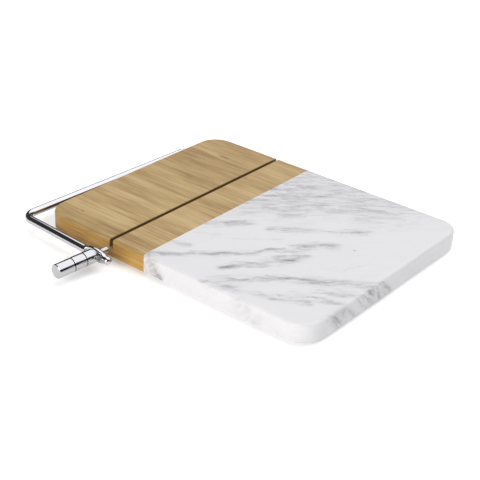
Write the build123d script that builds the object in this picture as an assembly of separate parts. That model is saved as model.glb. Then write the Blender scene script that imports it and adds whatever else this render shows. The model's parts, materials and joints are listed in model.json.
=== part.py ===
from build123d import *
from math import atan, cos, pi, radians, sin, sqrt, tan
import os

# A cheese slicer: a board of bamboo and marble, and a steel bow that is hinged in the bamboo and
# holds a cutting wire. The wire comes down into a groove across the bamboo.
#
# Millimetres. +X runs from the bamboo end to the marble end, +Y from the handle's side to the far
# side, +Z up. The pieces are drawn round the centre of the board's underside. At the end they are
# moved together, so that the feet stand at z 0 with the origin under the middle of the whole.

# Board
board_length = 250.0
board_width = 200.0
board_thickness = 15.0
corner_radius = 18.0
top_round = 2.0
bottom_round = 1.0
wood_length = 103.5

# Glued dowels between the bamboo and the marble
dowel_diameter = 8.0
dowel_length = 40.0
dowel_inset = 30.0
dowel_end_gap = 1.0
dowel_clearance = 0.05
dowel_chamfer = 0.8

# Feet
foot_diameter = 12.0
foot_height = 2.0
foot_taper = 1.0
foot_inset = 22.0
foot_round = 0.5

# Cutting groove, and the wire that lies in it when the bow is down
groove_to_joint = 32.5
groove_width = 3.2
groove_ease = 0.3
wire_height = 8.5
wire_diameter = 0.7
wire_floor_gap = 0.1
wire_hole_clearance = 0.2
wire_in_stud = 6.0

# Ball on the wire's far end, seated inside the shaft
ball_diameter = 2.3
ball_clearance = 0.15
ball_inside_shaft = 0.05
seat_gap = 0.05

# Bow: one rod, bent round the bamboo end
rod_diameter = 6.35
near_bend_radius = 9.5
end_gap = 8.75
near_gap = 7.5
hinge_gap = 2.235
bend_in_hole = 0.374
arm_splay = 3.3
pivot_from_far_side = 33.0
shaft_past_groove = 4.5
shaft_end_gap = 0.5
shaft_clearance = 0.05

# Eye: the stretch of the rod that is pressed flat where the stud goes through it
eye_length = 24.0
eye_height = 10.6
eye_thickness = 3.0
eye_flat_length = 15.2
eye_ramp = 2.3
eye_rim_round = 0.9
tip_reach = 15.8

# Tension stud, with a fine metric thread that the handle turns on
stud_diameter = 5.0
stud_hole_clearance = 0.15
stud_tip_gap = 4.5
stud_tip_chamfer = 0.5
stud_in_handle = 18.0
thread_pitch = 0.8
slack_turns = 2.0

# Washer and handle
washer_diameter = 9.6
washer_thickness = 1.5
handle_diameter = 11.0
handle_length = 33.5
handle_bevel = 0.4
handle_thread_clearance = 0.05
handle_face_gap = 0.05
handle_bore_spare = 4.0
ring_width = 0.9
ring_depth = 0.6
ring_places = (13.7, 24.7)

# Overshoot of a cutter past the face that it cuts
past = 2.0

# Radii
rod_radius = rod_diameter / 2
wire_radius = wire_diameter / 2
ball_radius = ball_diameter / 2
stud_radius = stud_diameter / 2
handle_radius = handle_diameter / 2

# Places on the board
left_end = -board_length / 2
near_side = -board_width / 2
far_side = board_width / 2
joint_x = left_end + wood_length
groove_x = joint_x - groove_to_joint
dowel_z = board_thickness / 2
groove_floor = wire_height - wire_radius - wire_floor_gap

# The bow's centre line: shaft, bar beside the bamboo end, and arm along the near side. The bar is
# hinge_gap from the bamboo end at the shaft and leans out to end_gap at the near corner, and the
# arm leans out away from it. The far bend starts just inside the shaft's hole.
pivot_y = far_side - pivot_from_far_side
shaft_end_x = groove_x + groove_width / 2 + shaft_past_groove
near_corner = Vector(left_end - end_gap - rod_radius, near_side - near_gap - rod_radius, wire_height)
pivot_corner = Vector(left_end - hinge_gap - rod_radius, pivot_y, wire_height)
bar_splay = atan((end_gap - hinge_gap) / (pivot_y - near_corner.Y))
far_bend_half_turn = (pi / 2 - bar_splay) / 2
far_bend_radius = (hinge_gap + rod_radius + bend_in_hole) / tan(far_bend_half_turn)
arm_direction = Vector(cos(radians(arm_splay)), -sin(radians(arm_splay)), 0)
inward = Vector(sin(radians(arm_splay)), cos(radians(arm_splay)), 0)

# The stud's tip faces the groove, and its axis crosses the arm squarely at the eye
stud_tip = Vector(groove_x, near_side - stud_tip_gap, wire_height)
tip_to_eye = (stud_tip - near_corner).dot(inward)
eye_centre = stud_tip - inward * tip_to_eye
eye_outer = tip_to_eye + eye_thickness / 2
handle_start = eye_outer + washer_thickness + handle_face_gap
stud_length = handle_start + stud_in_handle
rod_tip_centre = eye_centre + arm_direction * (tip_reach - rod_radius)

# Where the ball sits: it stays inside the shaft's round surface when the wire is slack
slack_travel = slack_turns * thread_pitch
wire_hole_radius = wire_radius + wire_hole_clearance
ball_room = sqrt(rod_radius**2 - ball_radius**2) - ball_inside_shaft
ball_y = pivot_y + ball_room - ball_radius - slack_travel
seat_y = ball_y - sqrt(ball_radius**2 - wire_hole_radius**2) - seat_gap


def rod_between(start, end, radius):
    """A round solid of one radius between two points."""
    axis = end - start
    return extrude(Plane(origin=start, z_dir=axis) * Circle(radius), amount=axis.length)


def along_stud(distance):
    """A point on the stud's axis, at a distance outward from the stud's tip."""
    return stud_tip - inward * distance


def dowel_rows():
    """The y of each dowel, by name."""
    return {
        "near": near_side + dowel_inset,
        "middle": 0.0,
        "far": far_side - dowel_inset,
    }


def whole_board():
    """The board before it is parted: rounded corners in plan and eased top and bottom edges."""
    outline = RectangleRounded(board_length, board_width, corner_radius)
    board = extrude(outline, amount=board_thickness)
    board = fillet(board.faces().sort_by(Axis.Z)[-1].edges(), top_round)
    return fillet(board.faces().sort_by(Axis.Z)[0].edges(), bottom_round)


def dowel_holes(depth_in_wood, depth_in_marble):
    """The three holes across the joint, as solids to cut away."""
    start = joint_x - depth_in_wood
    end = joint_x + depth_in_marble
    radius = dowel_diameter / 2 + dowel_clearance
    return [
        rod_between(Vector(start, y, dowel_z), Vector(end, y, dowel_z), radius)
        for y in dowel_rows().values()
    ]


def groove_cutter():
    """The groove's section with eased lips, carried from the near side to the far side."""
    half = groove_width / 2
    above = board_thickness + past
    section = Polyline(
        (-half, groove_floor),
        (half, groove_floor),
        (half, board_thickness - groove_ease),
        (half + groove_ease + past, above),
        (-half - groove_ease - past, above),
        (-half, board_thickness - groove_ease),
        close=True,
    )
    plane = Plane(origin=(groove_x, 0, 0), x_dir=(1, 0, 0), z_dir=(0, -1, 0))
    return extrude(plane * make_face(section), amount=board_width / 2 + past, both=True)


def bamboo_block(board):
    """The bamboo end: cut with the groove, the shaft's hole and the dowels' holes."""
    block = split(board, Plane(origin=(joint_x, 0, 0), z_dir=(1, 0, 0)), keep=Keep.BOTTOM)
    hole_start = Vector(left_end - past, pivot_y, wire_height)
    hole_end = Vector(shaft_end_x + shaft_end_gap, pivot_y, wire_height)
    block -= rod_between(hole_start, hole_end, rod_radius + shaft_clearance)
    block -= groove_cutter()
    for hole in dowel_holes(dowel_length / 2 + dowel_end_gap, past):
        block -= hole
    return block


def marble_slab(board):
    """The marble end: the dowels' holes are as deep as the dowels go."""
    slab = split(board, Plane(origin=(joint_x, 0, 0), z_dir=(1, 0, 0)), keep=Keep.TOP)
    for hole in dowel_holes(past, dowel_length / 2):
        slab -= hole
    return slab


def dowel(y):
    """A round dowel with chamfered ends, centred on the joint."""
    half = dowel_length / 2
    start = Vector(joint_x - half, y, dowel_z)
    pin = rod_between(start, start + Vector(dowel_length, 0, 0), dowel_diameter / 2)
    return chamfer(pin.edges().filter_by(GeomType.CIRCLE), dowel_chamfer)


def foot(x, y):
    """A tapered round rubber foot under the board, with a soft lower rim."""
    radius = foot_diameter / 2
    cone = Cone(radius - foot_taper, radius, foot_height)
    body = Pos(x, y, -foot_height / 2) * cone
    return fillet(body.faces().sort_by(Axis.Z)[0].edges(), foot_round)


def pressed_eye():
    """The flat oval that the rod becomes when it is pressed, before it is drilled."""
    plane = Plane(origin=eye_centre, x_dir=arm_direction, z_dir=inward)
    oval = plane * Ellipse(eye_length / 2, eye_height / 2)
    plate = extrude(oval, amount=eye_thickness / 2, both=True)
    return fillet(plate.edges(), eye_rim_round)


def pressed_flats():
    """What the press takes off the round rod on its two sides, with a ramp at each end."""
    flat = eye_flat_length / 2
    level = eye_thickness / 2
    rise = rod_radius - level
    slope = eye_ramp / rise
    high = rod_radius + past
    end = flat + slope * (high - level)
    outline = Polyline((-end, high), (-flat, level), (flat, level), (end, high), close=True)
    plane = Plane(origin=eye_centre, x_dir=arm_direction, z_dir=(0, 0, 1))
    one = extrude(make_face(outline), amount=rod_radius + past, both=True)
    return [plane * one, plane * mirror(one, Plane.XZ)]


def bow_rod():
    """The bow: shaft, bar and arm in one bent rod, with the drilled eye and the round tip."""
    shaft_end = Vector(shaft_end_x, pivot_y, wire_height)
    bends = (far_bend_radius, near_bend_radius)
    line = FilletPolyline(shaft_end, pivot_corner, near_corner, rod_tip_centre, radius=bends)
    section = Plane(origin=line @ 0, z_dir=line % 0) * Circle(rod_radius)
    bow = sweep(section, path=line)
    bow += Pos(*rod_tip_centre) * Sphere(rod_radius)
    for flat in pressed_flats():
        bow -= flat
    bow += pressed_eye()
    bow -= rod_between(along_stud(0), along_stud(2 * tip_to_eye), stud_radius + stud_hole_clearance)
    at_wire = Vector(groove_x, pivot_y, wire_height)
    side = Vector(0, rod_radius + past, 0)
    bow -= rod_between(at_wire - side, at_wire, wire_hole_radius)
    seat = Vector(groove_x, seat_y, wire_height)
    bow -= rod_between(seat, at_wire + side, ball_radius + ball_clearance)
    return bow


def cutting_wire():
    """The wire, straight from inside the ball to inside the stud."""
    start = Vector(groove_x, ball_y, wire_height)
    end = stud_tip - Vector(0, wire_in_stud, 0)
    return rod_between(start, end, wire_radius)


def wire_ball():
    """The ball that is crimped on the wire's far end."""
    ball = Pos(groove_x, ball_y, wire_height) * Sphere(ball_radius)
    return ball - cutting_wire()


def tension_stud():
    """The threaded stud, at the thread's outer diameter, with the wire's end inside it."""
    stud = rod_between(along_stud(0), along_stud(stud_length), stud_radius)
    stud = chamfer(stud.edges().filter_by(GeomType.CIRCLE), stud_tip_chamfer)
    return stud - cutting_wire()


def handle_washer():
    """The thin washer between the eye and the handle."""
    start = along_stud(eye_outer)
    end = along_stud(eye_outer + washer_thickness)
    disc = rod_between(start, end, washer_diameter / 2)
    return disc - rod_between(along_stud(0), along_stud(handle_start), stud_radius + stud_hole_clearance)


def turning_handle():
    """The turned handle: bevelled ends, two ring grooves and a blind threaded bore."""
    start = along_stud(handle_start)
    end = along_stud(handle_start + handle_length)
    handle = rod_between(start, end, handle_radius)
    handle = chamfer(handle.edges().filter_by(GeomType.CIRCLE), handle_bevel)
    bore_end = along_stud(handle_start + stud_in_handle + handle_bore_spare)
    handle -= rod_between(along_stud(0), bore_end, stud_radius + handle_thread_clearance)
    for place in ring_places:
        middle = handle_start + handle_length - place
        outer = along_stud(middle + ring_width / 2)
        inner = along_stud(middle - ring_width / 2)
        ring = rod_between(inner, outer, handle_radius + past)
        handle -= ring - rod_between(inner, outer, handle_radius - ring_depth)
    return handle


def feet():
    """The four feet, by name."""
    x = board_length / 2 - foot_inset
    y = board_width / 2 - foot_inset
    return {
        "foot_near_left": foot(-x, -y),
        "foot_near_right": foot(x, -y),
        "foot_far_left": foot(-x, y),
        "foot_far_right": foot(x, y),
    }


def all_parts():
    """Every piece of the slicer, by name."""
    board = whole_board()
    parts = {
        "bamboo_block": bamboo_block(board),
        "marble_slab": marble_slab(board),
        "bow_rod": bow_rod(),
        "cutting_wire": cutting_wire(),
        "wire_ball": wire_ball(),
        "tension_stud": tension_stud(),
        "handle_washer": handle_washer(),
        "turning_handle": turning_handle(),
    }
    for name, y in dowel_rows().items():
        parts[f"dowel_{name}"] = dowel(y)
    parts.update(feet())
    return parts


def to_table(parts):
    """The move that puts the feet at z 0 and the origin under the middle of all the pieces."""
    boxes = [shape.bounding_box() for shape in parts.values()]
    middle_x = (min(box.min.X for box in boxes) + max(box.max.X for box in boxes)) / 2
    middle_y = (min(box.min.Y for box in boxes) + max(box.max.Y for box in boxes)) / 2
    return Vector(-middle_x, -middle_y, -min(box.min.Z for box in boxes))


def shown(point):
    """A point as text, for the record."""
    return f"{point.X:.4f}, {point.Y:.4f}, {point.Z:.4f}"


pieces = all_parts()
move = to_table(pieces)
os.makedirs("parts", exist_ok=True)
for name, shape in pieces.items():
    export_step(Pos(move) * shape, f"parts/{name}.step")

print("centre of the board's underside:", shown(move))
print("hinge, where the groove crosses it:", shown(Vector(groove_x, pivot_y, wire_height) + move))
print("stud tip:", shown(stud_tip + move))
print("handle axis points:", shown(-inward))
print(f"stud travel: {slack_travel:.4f}")
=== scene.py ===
# %% [markdown]
# # A cheese slicer, dressed round its CAD frame
# The slicer is a board of bamboo and marble with a steel bow hinged in the bamboo. The CAD model
# already says where everything is and how it moves. Here it gets its looks: the board, the wire and
# the small hidden pieces keep their CAD shape and get a finish, and the rest of the steel is drawn
# again with softer, truer surfaces.

# %% Load the frame
import json
from math import cos, radians, sin, tan

import bpy
import numpy as np
from mathutils import Matrix, Vector


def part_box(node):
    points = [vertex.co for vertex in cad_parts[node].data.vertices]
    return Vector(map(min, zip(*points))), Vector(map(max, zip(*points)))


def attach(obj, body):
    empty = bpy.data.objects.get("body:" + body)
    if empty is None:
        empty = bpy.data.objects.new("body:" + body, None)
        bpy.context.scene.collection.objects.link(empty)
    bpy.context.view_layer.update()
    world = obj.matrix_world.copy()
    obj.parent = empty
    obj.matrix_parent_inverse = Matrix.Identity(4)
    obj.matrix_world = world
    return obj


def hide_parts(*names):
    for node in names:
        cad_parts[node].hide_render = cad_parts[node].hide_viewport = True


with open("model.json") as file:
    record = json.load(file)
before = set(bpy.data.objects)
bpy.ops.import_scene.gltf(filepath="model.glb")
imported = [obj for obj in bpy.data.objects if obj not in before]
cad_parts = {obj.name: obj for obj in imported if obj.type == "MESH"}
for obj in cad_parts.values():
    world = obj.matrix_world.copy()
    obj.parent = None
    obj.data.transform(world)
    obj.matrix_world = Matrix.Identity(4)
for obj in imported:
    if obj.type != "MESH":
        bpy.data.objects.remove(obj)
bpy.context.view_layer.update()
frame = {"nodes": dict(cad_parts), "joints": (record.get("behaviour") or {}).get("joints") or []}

nodes = frame["nodes"]
joints = {joint["name"]: joint for joint in frame["joints"]}
print("nodes:", len(nodes), "joints:", sorted(joints))

# %% [markdown]
# ## Places
# The scene works in metres, but a part this small is easier to think about in millimetres, so
# shapes are worked out in millimetres and scaled once, when they become meshes. Every place is
# read from the frame: the joints give the two axes, and the nodes' boxes give the board.

# %% Read the places from the frame
MM = 0.001
hinge = np.array(joints["bow_swing"]["pos_m"]) / MM
stud_tip = np.array(joints["handle_turn"]["pos_m"]) / MM
outward = np.array(joints["handle_turn"]["axis"], float)
outward /= np.linalg.norm(outward)
upright = np.array([0.0, 0.0, 1.0])
along_arm = np.cross(outward, upright)
if along_arm[0] < 0:
    along_arm = -along_arm

board_corner = np.array(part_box("bamboo_block")[0]) / MM
board_far_corner = np.array(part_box("marble_slab")[1]) / MM
board_size = board_far_corner - board_corner
board_top_middle = np.array([*(board_corner + board_far_corner)[:2] / 2, board_far_corner[2]])
print("board in mm:", board_size.round(2), "hinge at", hinge.round(2))

# %% [markdown]
# The handle, the washer and the stud lie on one axis, so each is measured along it: where it starts,
# where it ends, and how far it reaches from the axis. The answers size the new surfaces, so these
# can't drift away from the CAD pieces that they replace.

# %% Measure the turned pieces
def measured(node, point, axis):
    """Where a node starts and ends along an axis, and its greatest distance from it, in mm."""
    mesh = nodes[node].data
    places = np.empty(len(mesh.vertices) * 3)
    mesh.vertices.foreach_get("co", places)
    places = places.reshape(-1, 3) / MM - point
    along = places @ axis
    away = np.linalg.norm(places - np.outer(along, axis), axis=1)
    return along.min(), along.max(), away.max()


handle_start, handle_end, handle_radius = measured("turning_handle", stud_tip, outward)
washer_start, washer_end, washer_radius = measured("handle_washer", stud_tip, outward)
stud_start, stud_end, stud_radius = measured("tension_stud", stud_tip, outward)
print("handle from", round(handle_start, 2), "to", round(handle_end, 2), "mm past the stud's tip")

# %% [markdown]
# ## Camera
# A product view from above the near right corner. A camera is a turned frame of three axes:
# right, up and back. They are built from compass angle, height angle and a slight tilt, which is
# easier to adjust than three Euler angles, and the matrix is filled with them as columns.

# %% Set the camera
view_azimuth = radians(37.83)
view_elevation = radians(28.39)
view_tilt = radians(2.82)
view_distance = 831.8
aim = board_top_middle + np.array([14.65, -35.44, 0.0])

back = np.array([
    sin(view_azimuth) * cos(view_elevation),
    -cos(view_azimuth) * cos(view_elevation),
    sin(view_elevation),
])
level_right = np.array([cos(view_azimuth), sin(view_azimuth), 0.0])
level_up = np.cross(back, level_right)
view_right = level_right * cos(view_tilt) + level_up * sin(view_tilt)
view_up = np.cross(back, view_right)

camera = bpy.data.objects.new("camera", bpy.data.cameras.new("camera"))
bpy.context.scene.collection.objects.link(camera)
camera.data.lens = 84.75
camera.data.sensor_width = 36.0
camera.data.clip_start = 0.01
turn = Matrix(np.stack([view_right, view_up, back], axis=1).tolist()).to_4x4()
camera.matrix_world = Matrix.Translation(Vector((aim + back * view_distance) * MM)) @ turn
bpy.context.scene.camera = camera
print("camera at", [round(v, 3) for v in camera.location])

# %% [markdown]
# ## A socket that does arithmetic
# Shader nodes are tiring to wire by hand. One small class wraps an output socket and answers to
# plus, minus, times and divide by adding the Math node for it, so a pattern reads like a formula.
# Colours and vectors have their own methods, because a Math node would turn them grey.

# %% Define the socket wrapper
class Flow:
    """The values of one output socket, on their way to other nodes."""

    def __init__(self, tree, socket=None):
        self.tree = tree
        self.socket = socket

    def node(self, kind, settings=None, values=None, out=0):
        """Adds any node: first its settings, then the numbers or links of its sockets."""
        made = self.tree.nodes.new("ShaderNode" + kind)
        for name, setting in (settings or {}).items():
            if name == "stops":
                fill_ramp(made.color_ramp, setting)
            else:
                setattr(made, name, setting)
        for name, value in (values or {}).items():
            if isinstance(value, Flow):
                self.tree.links.new(value.socket, made.inputs[name])
            else:
                made.inputs[name].default_value = value
        return Flow(self.tree, made.outputs[out] if made.outputs else None)

    def math(self, operation, first, second=0.0):
        return self.node("Math", {"operation": operation}, {0: first, 1: second})

    def __add__(self, other):
        return self.math("ADD", self, other)

    def __radd__(self, other):
        return self.math("ADD", other, self)

    def __sub__(self, other):
        return self.math("SUBTRACT", self, other)

    def __rsub__(self, other):
        return self.math("SUBTRACT", other, self)

    def __mul__(self, other):
        return self.math("MULTIPLY", self, other)

    def __rmul__(self, other):
        return self.math("MULTIPLY", other, self)

    def __truediv__(self, other):
        return self.math("DIVIDE", self, other)

    def __rtruediv__(self, other):
        return self.math("DIVIDE", other, self)

    def least(self, other):
        return self.math("MINIMUM", self, other)

    def most(self, other):
        return self.math("MAXIMUM", self, other)

    def size(self):
        """The value without its sign."""
        return self.math("ABSOLUTE", self)

    def rise(self, low, high):
        """0 below low, 1 above high, and a smooth climb between. It falls if low is above high."""
        values = {"Value": self, "From Min": low, "From Max": high}
        return self.node("MapRange", {"interpolation_type": "SMOOTHSTEP"}, values)

    def vector(self, operation, other=(0.0, 0.0, 0.0), out=0):
        return self.node("VectorMath", {"operation": operation}, {0: self, 1: other}, out)

    def scaled(self, factor):
        """This vector times one value."""
        return self.node("VectorMath", {"operation": "SCALE"}, {0: self, "Scale": factor})

    def along(self, run):
        """A fixed vector times this value, held between 0 and 1."""
        held = self.node("Clamp", None, {"Value": self})
        return self.node("VectorMath", {"operation": "SCALE"}, {0: tuple(run), "Scale": held})

    def length(self):
        return self.vector("LENGTH", out="Value")

    def parts(self):
        """The x, y and z of a vector."""
        return [self.node("SeparateXYZ", None, {0: self}, out) for out in "XYZ"]

    def joined(self, y, z):
        """A vector from this x and two more values."""
        return self.node("CombineXYZ", None, {"X": self, "Y": y, "Z": z})

    def noise(self, scale, detail=2.0, roughness=0.5, distortion=0.0):
        values = {"Vector": self, "Scale": scale, "Detail": detail,
                  "Roughness": roughness, "Distortion": distortion}
        return self.node("TexNoise", None, values)

    def ramp(self, stops):
        """A value or colour read from a ramp: stops are (place, colour) pairs."""
        return self.node("ValToRGB", {"stops": stops}, {"Fac": self})

    def blend(self, first, second):
        """This value mixes two colours: 0 gives the first, 1 gives the second."""
        values = {0: self, 6: first, 7: second}
        return self.node("Mix", {"data_type": "RGBA"}, values, 2)


print("a flow answers to:", ", ".join(name for name in vars(Flow) if not name.startswith("_")))

# %% [markdown]
# A new colour ramp has two stops and a colour needs an alpha, so two small helpers see to both.

# %% Define the ramp and grey helpers
def fill_ramp(ramp, stops):
    """Sets a new ramp's stops. It starts with two, so the others are added between them."""
    while len(ramp.elements) < len(stops):
        ramp.elements.new(0.5)
    for element, (place, colour) in zip(ramp.elements, stops):
        element.position = place
        element.color = colour if len(colour) == 4 else (*colour, 1.0)


def grey(level):
    """A grey colour, with its alpha."""
    return (level, level, level, 1.0)


print("middle grey is", grey(0.5))

# %% [markdown]
# ## Floor and light
# Every material starts as an empty node tree and ends in one Principled shader, so those two steps
# are functions. The studio needs the first one and all the finishes need both.

# %% Define how a material starts and ends
def new_tree(name):
    """An empty node material, and the start of a flow in it."""
    material = bpy.data.materials.new(name)
    material.use_nodes = True
    material.node_tree.nodes.clear()
    return material, Flow(material.node_tree)


def surfaced(flow, values):
    """Ends a material with a Principled shader of these values."""
    shader = flow.node("BsdfPrincipled", None, values)
    flow.node("OutputMaterial", None, {"Surface": shader})


print("materials before dressing:", len(bpy.data.materials))

# %% [markdown]
# Polished steel shows its surroundings more than itself, so the studio matters as much as the
# finish. The floor is a pale sheet that glows a little. Brighter lamps would also make it white,
# but they would burn out the marble, and the glow lights the board's sides softly from below.

# %% Make the floor
floor_material, flow = new_tree("pale_floor")
cloud = flow.node("TexCoord", out="Object").noise(3.0)
surfaced(flow, {
    "Base Color": cloud.ramp([(0.0, grey(0.93)), (1.0, grey(0.96))]),
    "Roughness": 0.9,
    "Emission Color": (1.0, 1.0, 1.0, 1.0),
    "Emission Strength": 0.25,
})

reach = 14.0
floor_drop = 0.0002
floor_mesh = bpy.data.meshes.new("floor")
floor_mesh.from_pydata(
    [(-reach, -reach, 0), (reach, -reach, 0), (reach, reach, 0), (-reach, reach, 0)],
    [], [(0, 1, 2, 3)],
)
floor = bpy.data.objects.new("floor", floor_mesh)
bpy.context.scene.collection.objects.link(floor)
floor.location.z = -floor_drop
floor_mesh.materials.append(floor_material)
print("floor is", 2 * reach, "m across")

# %% [markdown]
# Overhead, and leaning to the back, is one wide white panel, made here as a round cap of the sky
# with a soft edge. It is cut off softly some way above the horizon, so the steel mirrors a bright
# top and a dark foot. The rest of the sky is dark, which gives the rods their crisp dark bands. An
# area lamp would look the same in the steel but would need a place, and the sky needs none.

# %% Make the panel of sky
world = bpy.data.worlds.new("studio")
bpy.context.scene.world = world
world.use_nodes = True
world.node_tree.nodes.clear()
sky = Flow(world.node_tree)
panel_centre = (0.035, 0.53, 0.848)
panel_rim = (0.665, 0.735)
panel_foot = (0.34, 0.45)
dark_sky, white_panel = (0.055, 0.055, 0.06, 1.0), (1.84, 1.84, 1.87, 1.0)
direction = sky.node("TexCoord", out="Generated")
in_panel = direction.vector("DOT_PRODUCT", panel_centre, "Value").rise(*panel_rim)
in_panel = in_panel * direction.parts()[2].rise(*panel_foot)
sky_colour = in_panel.blend(dark_sky, white_panel)
background = sky.node("Background", None, {"Color": sky_colour, "Strength": 1.0})
sky.node("OutputWorld", None, {"Surface": background})
print("sky nodes:", len(world.node_tree.nodes))

# %% [markdown]
# A second light comes from low in front and brings up the near side of the board. It is a sun with
# a wide angle, so its shadows are soft, and it is slightly warm, like a lamp beside a white sky.

# %% Make the front light
front_light = bpy.data.lights.new("front_light", "SUN")
front_light.energy = 2.5
front_light.color = (1.0, 0.98, 0.945)
front_light.angle = radians(38)
lamp = bpy.data.objects.new("front_light", front_light)
bpy.context.scene.collection.objects.link(lamp)
light_from = Vector((0.05, -0.87, 0.38))
lamp.rotation_euler = light_from.to_track_quat("Z", "Y").to_euler()
bpy.context.scene.view_settings.view_transform = "Standard"
print("light from", [round(v, 2) for v in light_from.normalized()])

# %% [markdown]
# ## From numbers to meshes
# Two kinds of surface are enough for the steel: a row of rings joined into a skin, and a profile
# turned round an axis, which is the same skin with circles for rings. Both ends close on a single
# point. If the volume comes out negative the skin is inside out, and its faces are turned round.

# %% Define how points and faces become a piece
sharp_angle = radians(32)


def steel_piece(name, points, faces, volume):
    """A smooth piece from points in mm, with its faces turned round if its volume is negative."""
    if volume < 0:
        faces = [face[::-1] for face in faces]
    mesh = bpy.data.meshes.new(name)
    mesh.from_pydata((points * MM).tolist(), [], faces)
    mesh.shade_smooth()
    mesh.set_sharp_from_angle(angle=sharp_angle)
    piece = bpy.data.objects.new(name, mesh)
    bpy.context.scene.collection.objects.link(piece)
    print(name, "has", len(faces), "faces and", round(abs(volume)), "cubic mm")
    return piece


# %% [markdown]
# A skin's faces are found from row and column numbers, all at once. The volume inside is the sum of
# a . (b x c) / 6 over its triangles, each of which makes a thin pyramid with the origin.

# %% Define the skin
def skinned(name, rings):
    """A closed mesh through rings of points, in mm: neighbouring points of neighbouring rings are
    the corners of a face, and each end is a fan of triangles round the middle of its ring."""
    rows, columns, _ = rings.shape
    points = np.concatenate([rings.reshape(-1, 3), [rings[0].mean(0)], [rings[-1].mean(0)]])
    row, column = np.arange(rows - 1)[:, None], np.arange(columns)[None, :]
    beside = (column + 1) % columns
    quads = np.stack([row * columns + column, row * columns + beside,
                      (row + 1) * columns + beside, (row + 1) * columns + column], -1).reshape(-1, 4)
    around = np.arange(columns)
    beyond = (around + 1) % columns
    last = (rows - 1) * columns
    first_fan = np.stack([beyond, around, np.full(columns, rows * columns)], -1)
    last_fan = np.stack([last + around, last + beyond, np.full(columns, rows * columns + 1)], -1)
    triangles = np.concatenate([quads[:, [0, 1, 2]], quads[:, [0, 2, 3]], first_fan, last_fan])
    a, b, c = (points[triangles[:, corner]] for corner in range(3))
    volume = (np.cross(a, b) * c).sum() / 6
    faces = quads.tolist() + first_fan.tolist() + last_fan.tolist()
    return steel_piece(name, points, faces, volume)


# %% [markdown]
# A turned piece is a profile carried round an axis. Real edges are never quite sharp, and an eased
# corner catches a thin highlight, so each corner of a profile is eased before it is turned.

# %% Define the turned skin
def circles(distances, radii, segments):
    """Rings round the stud's axis: at each distance past the stud's tip, a circle of that radius.
    A row of radii for each distance lets the radius change round the ring."""
    angle = np.linspace(0, 2 * np.pi, segments, endpoint=False)
    spokes = np.outer(np.cos(angle), along_arm) + np.outer(np.sin(angle), upright)
    centres = stud_tip + np.outer(distances, outward)
    radii = np.asarray(radii, float).reshape(len(distances), -1)
    return centres[:, None, :] + radii[..., None] * spokes[None]


def eased(profile, ease, steps=5):
    """A profile whose corners are eased: each corner gives way to a parabola from a point before
    it to a point after it, (1-t)^2 A + 2t(1-t) P + t^2 B, with A and B at the ease's distance."""
    profile, ease = np.asarray(profile, float), np.asarray(ease, float)[:, None]
    before = np.roll(profile, 1, axis=0) - profile
    after = np.roll(profile, -1, axis=0) - profile
    before /= np.maximum(np.linalg.norm(before, axis=1, keepdims=True), 1e-9)
    after /= np.maximum(np.linalg.norm(after, axis=1, keepdims=True), 1e-9)
    start, end = profile + before * ease, profile + after * ease
    t = np.linspace(0, 1, steps)[None, :, None]
    curve = (1 - t) ** 2 * start[:, None] + 2 * t * (1 - t) * profile[:, None] + t**2 * end[:, None]
    curve = curve.reshape(-1, 2)
    kept = np.append(True, np.linalg.norm(np.diff(curve, axis=0), axis=1) > 1e-4)
    return curve[kept]


def turned(name, profile, ease, segments=96):
    """A profile of (distance, radius) corners, eased and turned round the stud's axis."""
    curve = eased(profile, ease)
    return skinned(name, circles(curve[:, 0], curve[:, 1], segments))


# %% [markdown]
# ## The bow
# The bow is one steel rod: a shaft in the bamboo, a bar beside the board, and an arm along its
# near side. Near the arm's end the rod is pressed flat into an eye for the tension stud, and past
# the eye it is round again with a domed end. A curve with a bevel could make the bent rod but not
# the eye, so the rod is a skin of rings that change shape along the way. Each ring is a rounded
# box, |u/a|^n + |w/b|^n = 1, which is a circle when n is 2 and a and b are equal.

# %% Lay out the bow's centre line
rod_radius = 3.175
far_bend, near_bend = 6.0, 9.5
bar_splay = radians(2.1)
arm_length = 82.43
tip_reach = 15.8
shaft_past_groove = 6.1
eye_half_thickness = 1.5


def unit(vector):
    """The same direction, one long."""
    return vector / np.linalg.norm(vector, axis=-1, keepdims=True)


def rounded_corner(before, corner, after, radius, steps=28):
    """Points and directions round one bend: the spokes of an arc, turned evenly from the end of
    the first run to the start of the second."""
    u, v = unit(before - corner), unit(after - corner)
    half = np.arccos(u @ v) / 2
    centre = corner + unit(u + v) * radius / np.sin(half)
    first = corner + u * radius / np.tan(half) - centre
    last = corner + v * radius / np.tan(half) - centre
    sweep = np.pi - 2 * half
    t = np.linspace(0, 1, steps)[:, None] * sweep
    spokes = (np.sin(sweep - t) * first + np.sin(t) * last) / np.sin(sweep)
    travel = -np.cos(sweep - t) * first + np.cos(t) * last
    return centre + spokes, unit(travel)


eye_centre = stud_tip + outward * (washer_start - eye_half_thickness)
near_corner = eye_centre - along_arm * arm_length
bar_lean = (hinge[1] - near_corner[1]) * tan(bar_splay)
pivot_corner = np.array([near_corner[0] + bar_lean, hinge[1], hinge[2]])
shaft_end = hinge + np.array([shaft_past_groove, 0.0, 0.0])

far_points, far_travel = rounded_corner(shaft_end, pivot_corner, near_corner, far_bend)
near_points, near_travel = rounded_corner(pivot_corner, near_corner, eye_centre, near_bend)
dome_start = tip_reach - rod_radius
past_eye = np.concatenate([
    np.linspace(-20, dome_start, 150),
    dome_start + rod_radius * np.sin(np.linspace(0, np.pi / 2, 22))[1:-1],
    [tip_reach - 0.0005],
])
arm_points = eye_centre + np.outer(past_eye, along_arm)
path = np.concatenate([[shaft_end], far_points, near_points, arm_points])
travel = np.concatenate([
    [unit(pivot_corner - shaft_end)], far_travel, near_travel,
    np.repeat(along_arm[None], len(past_eye), axis=0),
])
print("bow's line has", len(path), "stations")

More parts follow.
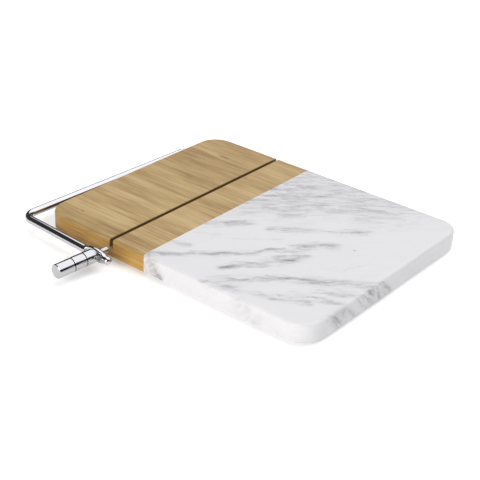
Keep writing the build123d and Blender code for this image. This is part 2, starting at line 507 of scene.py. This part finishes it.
# %% [markdown]
# The press widens the rod as it flattens it. Half the height is a soft maximum of the rod's radius
# and an ellipse over the eye, (e^7 + r^7)^(1/7). Half the thickness falls smoothly from the rod's
# radius to half the plate, and the ring's power n climbs from a circle's 2 towards a flat box's.

# %% Press the eye
eye_half_length, eye_half_height = 12.0, 5.3
flat_ends, flat_starts = 7.6, 9.9
round_power, pressed_power = 2.0, 4.2
soft_power = 7

station = np.concatenate([np.full(len(path) - len(past_eye), -99.0), past_eye])
pressed = np.clip((flat_starts - np.abs(station)) / (flat_starts - flat_ends), 0, 1)
pressed = pressed**2 * (3 - 2 * pressed)
oval = eye_half_height * np.sqrt(np.clip(1 - (station / eye_half_length) ** 2, 0, 1))
half_height = (oval**soft_power + rod_radius**soft_power) ** (1 / soft_power)
half_height *= np.where(half_height > eye_half_height, eye_half_height / half_height, 1)
half_thickness = rod_radius + (eye_half_thickness - rod_radius) * pressed
dome = np.sqrt(np.clip(1 - np.clip((station - dome_start) / rod_radius, 0, 1) ** 2, 0, 1))
power = round_power + (pressed_power - round_power) * pressed
print("eye is", round(2 * half_height.max(), 2), "mm high and", 2 * half_thickness.min(), "mm thick")

# %% [markdown]
# The rings go along the line, and the stud's hole is cut with a Boolean, because rings alone can't
# leave a round hole in their side. Its result is kept as the bow's own mesh, so the drill can be
# thrown away.

# %% Make the bow
angle = np.linspace(0, 2 * np.pi, 64, endpoint=False)[None]
cosine, sine = np.cos(angle), np.sin(angle)
bulge = (np.abs(cosine) ** power[:, None] + np.abs(sine) ** power[:, None]) ** (-1 / power[:, None])
aside = (half_thickness * dome)[:, None] * bulge * cosine
above = (half_height * dome)[:, None] * bulge * sine
sideways = np.cross(upright, travel)
rings = path[:, None] + aside[..., None] * sideways[:, None] + above[..., None] * upright
bow = skinned("bow", rings)

stud_clearance = 0.15
hole_radius = stud_radius + stud_clearance
drill = skinned("drill", circles([washer_start - 6, washer_start + 3], [hole_radius] * 2, 96))
cut = bow.modifiers.new("eye_hole", "BOOLEAN")
cut.operation = "DIFFERENCE"
cut.solver = "EXACT"
cut.object = drill
evaluated = bow.evaluated_get(bpy.context.evaluated_depsgraph_get())
drilled = bpy.data.meshes.new_from_object(evaluated)
bow.modifiers.clear()
bow.data = drilled
drilled.set_sharp_from_angle(angle=sharp_angle)
bpy.data.objects.remove(drill)
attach(bow, "bow")
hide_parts("bow_rod")
print("bow has", len(drilled.polygons), "faces after drilling")

# %% [markdown]
# ## The turning handle
# A turned cylinder with two fine ring grooves, bevelled ends, and a blind bore that runs on the
# stud's thread. A lathe cuts a profile round an axis, so that is how it is made here: the profile
# runs from the bottom of the bore, out over the surface, to the middle of the flat end.

# %% Make the turning handle
ring_width, ring_depth = 0.9, 0.6
ring_places = (13.7, 24.7)
thread_clearance = 0.05
bore_depth = 22.0
bore_radius = stud_radius + thread_clearance
bore_end = handle_start + bore_depth
ring_inner = handle_radius - ring_depth
grooves = [
    (handle_end - place + side, radius)
    for place in reversed(ring_places)
    for side, radius in (
        (-ring_width / 2, handle_radius), (-ring_width / 4, ring_inner),
        (ring_width / 4, ring_inner), (ring_width / 2, handle_radius),
    )
]
bevel = 0.45
profile = [
    (bore_end, 0.02), (bore_end, bore_radius), (handle_start + 0.5, bore_radius),
    (handle_start, bore_radius + 0.5), (handle_start, handle_radius - bevel),
    (handle_start + bevel, handle_radius), *grooves,
    (handle_end - bevel, handle_radius), (handle_end, handle_radius - bevel), (handle_end, 0.02),
]
handle_ease = [0, 0.2, 0.1, 0.1, 0.15, 0.15] + [0.08] * len(grooves) + [0.15, 0.15, 0]
handle = turned("turning_handle_steel", profile, handle_ease)
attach(handle, "handle")
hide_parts("turning_handle")

# %% [markdown]
# ## Washer
# The washer keeps the handle from scraping the eye. It is a small turned ring, so its profile is a
# closed loop: the last ring of points is joined to the first, and there are no ends to close.

# %% Make the washer
washer_bore = stud_radius + stud_clearance
washer_profile = [
    (washer_start, washer_bore), (washer_start, washer_radius),
    (washer_end, washer_radius), (washer_end, washer_bore),
]


def turned_ring(name, profile, ease, segments=96):
    """A closed profile turned round the stud's axis: the last ring is joined to the first."""
    curve = eased(profile, ease)
    rings = circles(curve[:, 0], curve[:, 1], segments)
    rows = len(rings)
    row, column = np.arange(rows)[:, None], np.arange(segments)[None, :]
    below, beside = (row + 1) % rows, (column + 1) % segments
    quads = np.stack([row * segments + column, below * segments + column,
                      below * segments + beside, row * segments + beside], -1).reshape(-1, 4)
    points = rings.reshape(-1, 3)
    a, b, c, d = (points[quads[:, corner]] for corner in range(4))
    volume = ((np.cross(a, b) * c).sum() + (np.cross(a, c) * d).sum()) / 6
    return steel_piece(name, points, quads.tolist(), volume)


washer = turned_ring("washer", washer_profile, [0.1, 0.35, 0.35, 0.1])
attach(washer, "bow")
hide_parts("handle_washer")

# %% [markdown]
# ## Tension stud
# The stud has a plain tip that grips the wire, then a real thread. The thread's surface is a circle
# whose radius rises and falls as a triangle wave of (distance / pitch - angle / full turn), so each
# turn climbs exactly one pitch. The wave fades in and out where the thread starts and ends.

# %% Make the stud
thread_pitch = 0.8
thread_depth = 0.45
thread_from, thread_to = 5.6, stud_end - 0.6
thread_fade_in, thread_fade_out = 1.2, 0.8
tip_ease = 0.5
stations = np.concatenate([
    [0.0, tip_ease, thread_from - 0.3],
    np.arange(thread_from, thread_to, thread_pitch / 8),
    [thread_to, stud_end],
])
stud_angle = np.linspace(0, 2 * np.pi, 48, endpoint=False)
phase = stations[:, None] / thread_pitch - stud_angle[None] / (2 * np.pi)
wave = np.abs(2 * (phase % 1) - 1)
fade = np.clip((stations - thread_from) / thread_fade_in, 0, 1)
fade *= np.clip((thread_to - stations) / thread_fade_out, 0, 1)
stud_radii = stud_radius - thread_depth * fade[:, None] * wave
stud_radii[0] = stud_radii[-1] = stud_radius - tip_ease
stud = skinned("stud", circles(stations, stud_radii, len(stud_angle)))
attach(stud, "wire_set")
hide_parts("tension_stud")

# %% [markdown]
# ## Bamboo
# The bamboo end is glued from long strips, so its pattern is all streaks along x. The pattern is
# read in millimetres from the board's corner, and a noise becomes streaks when its place is
# multiplied by less along x than across it.

# %% Define the places that patterns are read from
def board_place(flow):
    """The place on the board in mm, measured from its near left bottom corner."""
    place = flow.node("TexCoord", out="Object").vector("SUBTRACT", tuple(board_corner * MM))
    return place.scaled(1 / MM)


def stretched(place, across):
    """A place squeezed or stretched on each axis, so that a noise on it comes out as streaks."""
    return place.vector("MULTIPLY", across)


print("patterns start at", board_corner.round(2))

# %% [markdown]
# Broad light and dark strips come from a ramp across the board, and a slow drift keeps their edges
# from being ruler-straight. Streaks and finer fibres are noises stretched twenty to thirty times
# along x, and a slow cast makes one part of a strip darker than another.

# %% Lay out the bamboo's strips and fibres
bamboo, flow = new_tree("bamboo_oiled")
place = board_place(flow)
x, y, z = place.parts()
drift = stretched(place, (0.012, 0.05, 0.05)).noise(1.0, detail=1.0) - 0.5
strip_y = y + drift * 5.0
strips = (strip_y / board_size[1]).ramp([
    (0.00, grey(0.30)), (0.055, grey(0.22)), (0.085, grey(0.42)), (0.115, grey(0.62)),
    (0.14, grey(0.50)), (0.20, grey(0.42)), (0.27, grey(0.46)), (0.295, grey(0.74)),
    (0.32, grey(0.52)), (0.37, grey(0.50)), (0.40, grey(0.30)), (0.415, grey(0.66)),
    (0.435, grey(0.46)), (0.455, grey(0.30)), (0.50, grey(0.32)), (0.515, grey(0.60)),
    (0.56, grey(0.52)), (0.60, grey(0.34)), (0.68, grey(0.40)), (0.74, grey(0.22)),
    (0.82, grey(0.24)), (0.84, grey(0.58)), (0.875, grey(0.46)), (0.93, grey(0.36)),
    (1.00, grey(0.30)),
])
groove_place = hinge[0] - board_corner[0]
fibre = stretched(place, (0.045, 1.3, 1.3)).noise(1.0, detail=4.0, roughness=0.6)
streak = stretched(place, (0.022, 0.42, 0.42)).noise(1.0, detail=5.0, roughness=0.62)
cast = stretched(place, (0.016, 0.055, 0.055)).noise(1.0, detail=2.0)
paler = x.rise(groove_place - 1, groove_place + 1) * 0.05
tone = strips * 0.72 + (streak - 0.5) * 1.35 + (fibre - 0.5) * 0.95 + (cast - 0.5) * 0.7 + paler + 0.10
print("bamboo nodes so far:", len(bamboo.node_tree.nodes))

# %% [markdown]
# A few dark knuckle marks sit where the cane had its joints. One tone then gives two colours: a
# pale one for the oiled top and a more orange one for the sides, which gets painted shade that
# darkens it towards the foot.

# %% Colour the bamboo's top and sides
def knuckle(centre_x, centre_y, half_x, half_y, strength):
    """A soft dark oval on the board's top, where the cane had a joint."""
    away = ((x - centre_x) / half_x).joined((strip_y - centre_y) / half_y, 0.0).length()
    return away.rise(1.0, 0.2) * strength


marks = knuckle(36, 170, 9, 3.2, 0.42) + knuckle(40, 120, 5, 1.6, 0.3) + knuckle(23, 18, 2.6, 1.6, 0.4)
tone = tone - marks
top_colour = tone.ramp([
    (0.0, (0.268, 0.160, 0.056)), (0.35, (0.398, 0.266, 0.108)),
    (0.60, (0.484, 0.340, 0.156)), (1.0, (0.600, 0.446, 0.238)),
])
# Painted shade: the sides' tone is lowered towards the foot.
side_colour = (tone - z.rise(13.0, 1.0) * 0.07).ramp([
    (0.0, (0.225, 0.112, 0.018)), (0.45, (0.405, 0.230, 0.050)), (1.0, (0.600, 0.390, 0.135)),
])
on_side = z.rise(board_size[2] - 0.6, board_size[2] - 2.4)
coloured = on_side.blend(top_colour, side_colour)
print("bamboo nodes so far:", len(bamboo.node_tree.nodes))

# %% [markdown]
# The left end shows end grain, where the cut tubes of the cane drink oil and go dark, and it also
# gets painted shade, as that end faces away from the light. The groove's walls and floor get painted
# shade too, as the narrow slot lies in shadow, over bare wood that is a little darker. That colour
# stops just under the groove's floor, or it would run on down the board's near and far sides.

# %% Add the end grain and the groove, with their painted shade
pores = place.noise(1.6, detail=2.0)
# The end face is end grain darkened by oil, plus painted shade, as it faces away from the light.
end_grain_and_shade = pores.ramp([(0.35, (0.090, 0.050, 0.022)), (0.65, (0.210, 0.135, 0.065))])
coloured = x.rise(1.1, 0.2).blend(coloured, end_grain_and_shade)
half_groove = 1.6
groove_floor = hinge[2] - board_corner[2] - 0.45
groove_shade = (x - groove_place).size().rise(half_groove + 0.25, half_groove + 0.02)
groove_shade = groove_shade * z.rise(board_size[2] - 0.1, board_size[2] - 0.9)
groove_shade = groove_shade * z.rise(groove_floor - 0.3, groove_floor - 0.05)
# Painted shade in the groove, over slightly darker wood: its walls and floor are coloured dark brown.
coloured = groove_shade.blend(coloured, (0.185, 0.100, 0.035, 1.0))
bump = flow.node("Bump", None, {"Strength": 0.12, "Distance": 0.0002, "Height": fibre})
surfaced(flow, {
    "Base Color": coloured,
    "Roughness": fibre * 0.16 + 0.40,
    "Specular IOR Level": 0.35,
    "Normal": bump,
})
nodes["bamboo_block"].material_slots[0].material = bamboo
print("bamboo nodes:", len(bamboo.node_tree.nodes))

# %% [markdown]
# ## Marble
# Marble's veins are cracks that filled with darker minerals, so they are sheets through the stone
# and show on the sides too. Places lower in the stone are read from nearer the front, so the sheets
# lean.
# All the veins of a slab run roughly one way, so two noises are stretched along that way: threads
# are fine, streaks are broad, and a ruffle bends both. Clouds, patches and speckle have no grain.

# %% Lay out the marble's directions and noises
marble, flow = new_tree("marble_honed")
place = board_place(flow)
x, y, z = place.parts()
vein_slope = radians(40)
leaning_y = y - (board_size[2] - z) * 0.9
along_vein = x * cos(vein_slope) + leaning_y * sin(vein_slope)
across_vein = leaning_y * cos(vein_slope) - x * sin(vein_slope)
flat_place = x.joined(leaning_y, 0.0)
wander = flow.node("TexNoise", None, {
    "Vector": flat_place, "Scale": 0.05, "Detail": 3.0, "Roughness": 0.5}, out="Color")
wander = wander.vector("SUBTRACT", (0.5, 0.5, 0.5)).vector("MULTIPLY", (10.0, 10.0, 0.0))
vein_place = flat_place.vector("ADD", wander)
ruffle = place.noise(0.22, detail=3.0, roughness=0.6) - 0.5
threads = (along_vein * 0.075 + ruffle * 0.8).joined(across_vein * 0.34 + ruffle * 1.2, z * 0.10)
threads = threads.noise(1.0, detail=5.0, roughness=0.64)
streaks = (along_vein * 0.034 + ruffle * 0.4).joined(across_vein * 0.13 + ruffle * 0.7, z * 0.06)
streaks = streaks.noise(1.0, detail=6.0, roughness=0.62)
clouds = place.noise(0.030, detail=5.0, roughness=0.6)
patches = place.noise(0.11, detail=4.0, roughness=0.6).rise(0.34, 0.64)
speckle = place.noise(0.34, detail=3.0, roughness=0.6)
print("marble nodes so far:", len(marble.node_tree.nodes))

# %% [markdown]
# The main veins are chains of points on the top. Darkness falls with the distance to the chain, the
# nearest point of a run being a + d * clamp((p - a) . d / d . d). The place p has already been
# shifted by a noise, so the straight runs wander.

# %% Define a vein
def vein(points, width, strength):
    """Darkness round a chain of points: full on the chain, nothing at its width away."""
    away = None
    for (ax, ay), (bx, by) in zip(points[:-1], points[1:]):
        run = np.array([bx - ax, by - ay, 0.0])
        from_start = vein_place.vector("SUBTRACT", (ax, ay, 0.0))
        share = from_start.vector("DOT_PRODUCT", tuple(run / (run @ run)), "Value")
        distance = from_start.vector("SUBTRACT", share.along(run)).length()
        away = distance if away is None else away.least(distance)
    return away.rise(width, 0.0) * strength


def darkest(chains):
    """The darkest of several veins at each place."""
    veins = None
    for points, width, strength in chains:
        one = vein(points, width, strength)
        veins = one if veins is None else veins.most(one)
    return veins


print("a vein is measured from", len(marble.node_tree.nodes), "nodes of places and noises")

# %% [markdown]
# A vein has a thin dark core, and round it a wide halo where the stone is only stained. The cores
# are drawn as lines, broken up by patches and threads. The halos only say how strongly the threads
# and streaks show, so they come out as bundles of fine lines. Each entry is a chain in mm, its
# width and its strength.

# %% Place the veins
cores = [
    ([(102, 2), (112, 11), (124, 22), (138, 35), (150, 47), (160, 59), (166, 67), (172, 75)], 2.8, 0.44),
    ([(154, 24), (162, 35), (170, 45), (176, 55), (182, 63), (188, 73)], 2.4, 0.30),
    ([(184, 90), (190, 104), (199, 110)], 2.0, 0.20),
    ([(103, 5), (111, -3), (122, -14)], 2.4, 0.30), ([(102, -5), (108, -15)], 2.2, 0.28),
    ([(103, 26), (118, 34)], 2.0, 0.22), ([(103, 66), (124, 90)], 2.6, 0.18),
    ([(134, 62), (150, 77), (163, 89)], 2.0, 0.14), ([(108, 52), (124, 62)], 1.8, 0.14),
    ([(148, 98), (168, 112), (182, 123), (199, 138)], 2.4, 0.16),
    ([(222, 81), (231, 100)], 2.0, 0.12),
    ([(196, 44), (214, 54), (232, 66), (251, 80)], 2.6, 0.15),
    ([(194, 15), (212, 17), (228, 28)], 2.4, 0.14), ([(218, 32), (234, 38), (251, 43)], 2.4, 0.15),
]
halos = [
    ([(102, 0), (124, 22), (150, 47), (166, 67), (184, 80)], 6.5, 0.60),
    ([(156, 26), (170, 45), (182, 63), (189, 80)], 8.0, 0.70), ([(180, 60), (188, 77)], 9.0, 1.10),
    ([(177, 84), (186, 98), (197, 104)], 8.5, 0.75), ([(103, 64), (128, 92)], 9.0, 0.50),
    ([(103, 26), (118, 34)], 5.0, 0.40), ([(146, 96), (176, 118), (202, 140)], 8.0, 0.55),
    ([(103, 144), (118, 160)], 11.0, 0.75), ([(124, 152), (140, 166)], 8.0, 0.70),
    ([(116, 118), (134, 134)], 8.0, 0.55), ([(136, 116), (152, 128)], 8.0, 0.55),
    ([(114, 192), (140, 200)], 8.0, 0.60), ([(160, 186), (178, 198)], 8.0, 0.55),
    ([(156, 156), (178, 172)], 9.0, 0.60),
    ([(162, 6), (182, 27), (198, 42), (214, 52), (232, 64), (254, 80)], 9.5, 0.62),
    ([(160, 2), (184, 8), (198, 14), (228, 28)], 8.0, 0.50),
    ([(216, 32), (254, 44)], 7.0, 0.45), ([(224, 46), (254, 60)], 9.0, 0.55),
    ([(253, 20), (253, 40)], 7.0, 0.45), ([(253, 56), (253, 86)], 8.0, 1.00),
    ([(103, 4), (118, -12)], 8.0, 0.55), ([(190, -4), (206, -10)], 10.0, 0.22),
]
print(len(cores), "cores and", len(halos), "halos")

# %% [markdown]
# The far side of the slab is grey all over with thin threads, and the near side is clear between
# its veins. One shade gathers all of it, with painted shade that makes the slab's side faces a
# little darker than its top, and a ramp gives it colour. Iron has stained a spot or two on the
# near side rusty, and there is one small dark fleck on the top.

# %% Shade and colour the marble
def blot(centre_x, centre_y, outer, inner):
    """1 within the inner distance of a place, 0 beyond the outer one."""
    return (x - centre_x).joined(leaning_y - centre_y, 0.0).length().rise(outer, inner)


far_side = (across_vein + (clouds - 0.5) * 36.0).rise(-26.0, 30.0)
haze = darkest(halos).most(far_side * 0.48) + 0.04
fine = threads.rise(0.42, 0.80) * 0.85 + streaks.rise(0.44, 0.74) * 0.42
core = darkest(cores) * (patches * 0.60 + 0.20) * (threads * 1.2 + 0.25)
fleck = blot(210.5, 110.0, 1.5, 0.4) * 0.4
# Painted shade: the slab's side faces are made a little darker than its top.
side_painted_shade = z.rise(board_size[2] - 0.2, board_size[2] - 2.0) * 0.05
shade = haze * (fine + 0.07) + core + fleck + far_side * 0.02
shade = shade + (clouds - 0.5) * 0.10 + (speckle - 0.5) * 0.06 + side_painted_shade - 0.005
stone_colour = shade.ramp([
    (0.0, (0.684, 0.682, 0.696)), (0.25, (0.500, 0.494, 0.516)),
    (0.55, (0.310, 0.301, 0.315)), (1.0, (0.160, 0.150, 0.150)),
])
rusty = blot(108.0, -8.0, 15.0, 4.0) * 0.35 + blot(199.0, -6.0, 5.5, 1.0) * 0.22
stone_colour = (rusty * speckle).blend(stone_colour, (0.42, 0.32, 0.20, 1.0))
surfaced(flow, {
    "Base Color": stone_colour,
    "Roughness": shade * 0.12 + 0.30,
    "Specular IOR Level": 0.38,
    "Normal": flow.node("Bump", None, {"Strength": 0.05, "Distance": 0.0001, "Height": speckle}),
})
nodes["marble_slab"].material_slots[0].material = marble
print("marble nodes:", len(marble.node_tree.nodes))

# %% [markdown]
# ## Steel
# All the steel is one recipe with different numbers: a metal colour, a roughness that varies a
# little where fingers have been, and a very fine bump. On turned pieces the bump also has rings
# round the axis, read from the distance along it. The handle's two grooves are painted almost
# black: painted shade, as the narrow grooves lie in shadow, with some grime.

# %% Define the steel recipe
def steel(name, colour, roughness, scratch, turned_marks=0.0, shade_and_grime_rings=()):
    """A metal whose roughness wavers and whose bump is noise plus turning rings. In its grooves, at
    the ring places given, it gets painted shade with some polish and dirt, so they are almost black."""
    material, flow = new_tree(name)
    spot = flow.node("TexCoord", out="Object").scaled(1 / MM)
    smudge = spot.noise(0.09, detail=3.0)
    fine = spot.noise(3.0, detail=2.0)
    height = fine * scratch
    if turned_marks:
        along = spot.vector("DOT_PRODUCT", tuple(outward), "Value")
        rings = along.joined(0.0, 0.0).noise(5.0, detail=2.0)
        height = height + rings * turned_marks
    metal = smudge.ramp([(0.3, tuple(c * 0.95 for c in colour)), (0.7, colour)])
    for place in shade_and_grime_rings:
        # Painted shade, with some grime: each handle groove is coloured almost black.
        ring_shade_and_grime = (along - place).size().rise(ring_width * 0.52, ring_width * 0.36)
        metal = ring_shade_and_grime.blend(metal, grey(0.07))
    surfaced(flow, {
        "Base Color": metal,
        "Metallic": 1.0,
        "Roughness": smudge * 0.08 + (roughness - 0.04),
        "Normal": flow.node("Bump", None, {"Strength": 0.25, "Distance": 0.00002, "Height": height}),
    })
    return material


print("steel pieces to finish:", [piece.name for piece in (bow, handle, washer, stud)])

# %% [markdown]
# The rod is the most polished, then the handle. The washer, the stud, the wire and its ball are
# satin. The numbers are a colour, a roughness, how much fine scratch the bump has, and how much
# turning mark.

# %% Make the steel finishes
bow.data.materials.clear()
bow.data.materials.append(steel("rod_polished", (0.52, 0.52, 0.53), 0.06, 0.25))
ring_distances = [stud_tip @ outward + handle_end - place for place in ring_places]
handle_steel = steel("handle_turned", (0.47, 0.47, 0.485), 0.09, 0.2, 1.0, ring_distances)
handle.data.materials.append(handle_steel)
washer.data.materials.append(steel("washer_satin", (0.42, 0.42, 0.43), 0.26, 0.5, 0.6))
stud.data.materials.append(steel("stud_satin", (0.43, 0.42, 0.41), 0.24, 0.5))
wire_finish = steel("wire_drawn", (0.52, 0.52, 0.52), 0.22, 0.4)
for node in ("cutting_wire", "wire_ball"):
    nodes[node].material_slots[0].material = wire_finish
print("materials now:", len(bpy.data.materials))

# %% [markdown]
# ## Dowels and feet
# The dowels are plain beech, hidden in the joint, and the feet are soft clear-grey rubber, seen
# from below only. So a simple grain and a fine speckle are enough.

# %% Make the dowel and foot finishes
beech, flow = new_tree("dowel_beech")
grain = stretched(board_place(flow), (0.08, 1.4, 1.4)).noise(1.0, detail=3.0)
surfaced(flow, {
    "Base Color": grain.ramp([(0.3, (0.50, 0.34, 0.20)), (0.7, (0.64, 0.47, 0.30))]),
    "Roughness": 0.6,
    "Normal": flow.node("Bump", None, {"Strength": 0.2, "Distance": 0.0001, "Height": grain}),
})
rubber, flow = new_tree("foot_rubber_soft")
speckle = board_place(flow).noise(4.0, detail=2.0)
surfaced(flow, {
    "Base Color": speckle.ramp([(0.3, grey(0.52)), (0.7, grey(0.62))]),
    "Roughness": speckle * 0.2 + 0.45,
    "Normal": flow.node("Bump", None, {"Strength": 0.3, "Distance": 0.0001, "Height": speckle}),
})
for node in nodes:
    if node.startswith("dowel"):
        nodes[node].material_slots[0].material = beech
    if node.startswith("foot"):
        nodes[node].material_slots[0].material = rubber
print("beech nodes:", len(beech.node_tree.nodes), "rubber nodes:", len(rubber.node_tree.nodes))

# %% [markdown]
